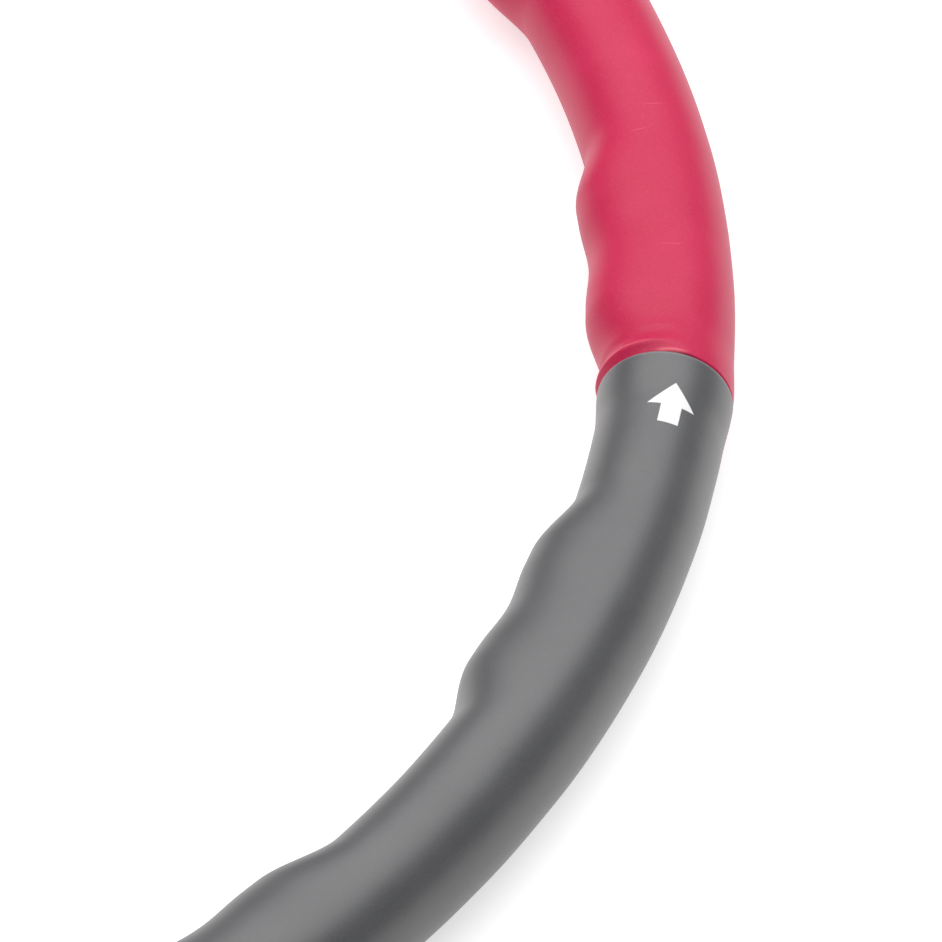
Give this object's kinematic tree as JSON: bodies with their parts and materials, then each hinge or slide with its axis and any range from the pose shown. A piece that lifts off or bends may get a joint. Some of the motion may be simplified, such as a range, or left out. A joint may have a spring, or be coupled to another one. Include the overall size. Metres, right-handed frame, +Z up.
{
  "type": "sectional foam-covered exercise hoop",
  "caption": "Round exercise hoop of plug-together curved sections in soft foam, with massage humps on the inner side and spring-button joints.",
  "frame": {"origin": "centre of the hoop, on the surface it lies on", "axes": "+Z up through the hoop's centre, along its thinnest extent; +X runs through the joint where section 1 starts"},
  "size_m": [0.95, 0.95, 0.04],
  "materials": {
    "red_foam": "matte",
    "grey_foam": "matte",
    "core_steel": "satin",
    "plug_plastic": "satin",
    "liner_plastic": "satin",
    "spring_steel": "satin"
  },
  "bodies": {
    "section_1": {"foam_sleeve_1": "red_foam", "core_tube_1": "core_steel", "plug_1": "plug_plastic", "plug_pin_1": "core_steel", "socket_liner_1": "liner_plastic"},
    "latch_1": {"spring_clip_1": "spring_steel"},
    "section_2": {"foam_sleeve_2": "grey_foam", "core_tube_2": "core_steel", "plug_2": "plug_plastic", "plug_pin_2": "core_steel", "socket_liner_2": "liner_plastic"},
    "latch_2": {"spring_clip_2": "spring_steel"},
    "section_3": {"foam_sleeve_3": "red_foam", "core_tube_3": "core_steel", "plug_3": "plug_plastic", "plug_pin_3": "core_steel", "socket_liner_3": "liner_plastic"},
    "latch_3": {"spring_clip_3": "spring_steel"},
    "section_4": {"foam_sleeve_4": "grey_foam", "core_tube_4": "core_steel", "plug_4": "plug_plastic", "plug_pin_4": "core_steel", "socket_liner_4": "liner_plastic"},
    "latch_4": {"spring_clip_4": "spring_steel"},
    "section_5": {"foam_sleeve_5": "red_foam", "core_tube_5": "core_steel", "plug_5": "plug_plastic", "plug_pin_5": "core_steel", "socket_liner_5": "liner_plastic"},
    "latch_5": {"spring_clip_5": "spring_steel"},
    "section_6": {"foam_sleeve_6": "grey_foam", "core_tube_6": "core_steel", "plug_6": "plug_plastic", "plug_pin_6": "core_steel", "socket_liner_6": "liner_plastic"},
    "latch_6": {"spring_clip_6": "spring_steel"},
    "section_7": {"foam_sleeve_7": "red_foam", "core_tube_7": "core_steel", "plug_7": "plug_plastic", "plug_pin_7": "core_steel", "socket_liner_7": "liner_plastic"},
    "latch_7": {"spring_clip_7": "spring_steel"},
    "section_8": {"foam_sleeve_8": "grey_foam", "core_tube_8": "core_steel", "plug_8": "plug_plastic", "plug_pin_8": "core_steel", "socket_liner_8": "liner_plastic"},
    "latch_8": {"spring_clip_8": "spring_steel"}
  },
  "joints": [
    {"name": "pull_apart_2", "type": "slide", "parent": "section_1", "child": "section_2", "axis": [-0.7071, 0.7071, 0], "range_m": [0, 0.034], "deforming": ["spring_clip_2"]},
    {"name": "pull_apart_3", "type": "slide", "parent": "section_2", "child": "section_3", "axis": [-1, 0, 0], "range_m": [0, 0.034], "deforming": ["spring_clip_3"]},
    {"name": "pull_apart_4", "type": "slide", "parent": "section_3", "child": "section_4", "axis": [-0.7071, -0.7071, 0], "range_m": [0, 0.034], "deforming": ["spring_clip_4"]},
    {"name": "pull_apart_5", "type": "slide", "parent": "section_4", "child": "section_5", "axis": [0, -1, 0], "range_m": [0, 0.034], "deforming": ["spring_clip_5"]},
    {"name": "pull_apart_6", "type": "slide", "parent": "section_5", "child": "section_6", "axis": [0.7071, -0.7071, 0], "range_m": [0, 0.034], "deforming": ["spring_clip_6"]},
    {"name": "pull_apart_7", "type": "slide", "parent": "section_6", "child": "section_7", "axis": [1, 0, 0], "range_m": [0, 0.034], "deforming": ["spring_clip_7"]},
    {"name": "pull_apart_8", "type": "slide", "parent": "section_7", "child": "section_8", "axis": [0.7071, 0.7071, 0], "range_m": [0, 0.034], "deforming": ["spring_clip_8"]},
    {"name": "press_latch_1", "type": "slide", "parent": "section_1", "child": "latch_1", "axis": [0.225, 0, 0.9744], "range_m": [-0.0044, 0], "stiffness_N_per_m": 600, "deforming": ["spring_clip_1"]},
    {"name": "press_latch_2", "type": "slide", "parent": "section_2", "child": "latch_2", "axis": [0.1591, 0.1591, 0.9744], "range_m": [-0.0044, 0], "stiffness_N_per_m": 600, "deforming": ["spring_clip_2"]},
    {"name": "press_latch_3", "type": "slide", "parent": "section_3", "child": "latch_3", "axis": [0, 0.225, 0.9744], "range_m": [-0.0044, 0], "stiffness_N_per_m": 600, "deforming": ["spring_clip_3"]},
    {"name": "press_latch_4", "type": "slide", "parent": "section_4", "child": "latch_4", "axis": [-0.1591, 0.1591, 0.9744], "range_m": [-0.0044, 0], "stiffness_N_per_m": 600, "deforming": ["spring_clip_4"]},
    {"name": "press_latch_5", "type": "slide", "parent": "section_5", "child": "latch_5", "axis": [-0.225, 0, 0.9744], "range_m": [-0.0044, 0], "stiffness_N_per_m": 600, "deforming": ["spring_clip_5"]},
    {"name": "press_latch_6", "type": "slide", "parent": "section_6", "child": "latch_6", "axis": [-0.1591, -0.1591, 0.9744], "range_m": [-0.0044, 0], "stiffness_N_per_m": 600, "deforming": ["spring_clip_6"]},
    {"name": "press_latch_7", "type": "slide", "parent": "section_7", "child": "latch_7", "axis": [0, -0.225, 0.9744], "range_m": [-0.0044, 0], "stiffness_N_per_m": 600, "deforming": ["spring_clip_7"]},
    {"name": "press_latch_8", "type": "slide", "parent": "section_8", "child": "latch_8", "axis": [0.1591, -0.1591, 0.9744], "range_m": [-0.0044, 0], "stiffness_N_per_m": 600, "deforming": ["spring_clip_8"]}
  ],
  "couplings": [
    {"joint": "pull_apart_3", "follows": "pull_apart_2", "ratio": 1},
    {"joint": "pull_apart_4", "follows": "pull_apart_2", "ratio": 1},
    {"joint": "pull_apart_5", "follows": "pull_apart_2", "ratio": 1},
    {"joint": "pull_apart_6", "follows": "pull_apart_2", "ratio": 1},
    {"joint": "pull_apart_7", "follows": "pull_apart_2", "ratio": 1},
    {"joint": "pull_apart_8", "follows": "pull_apart_2", "ratio": 1}
  ]
}
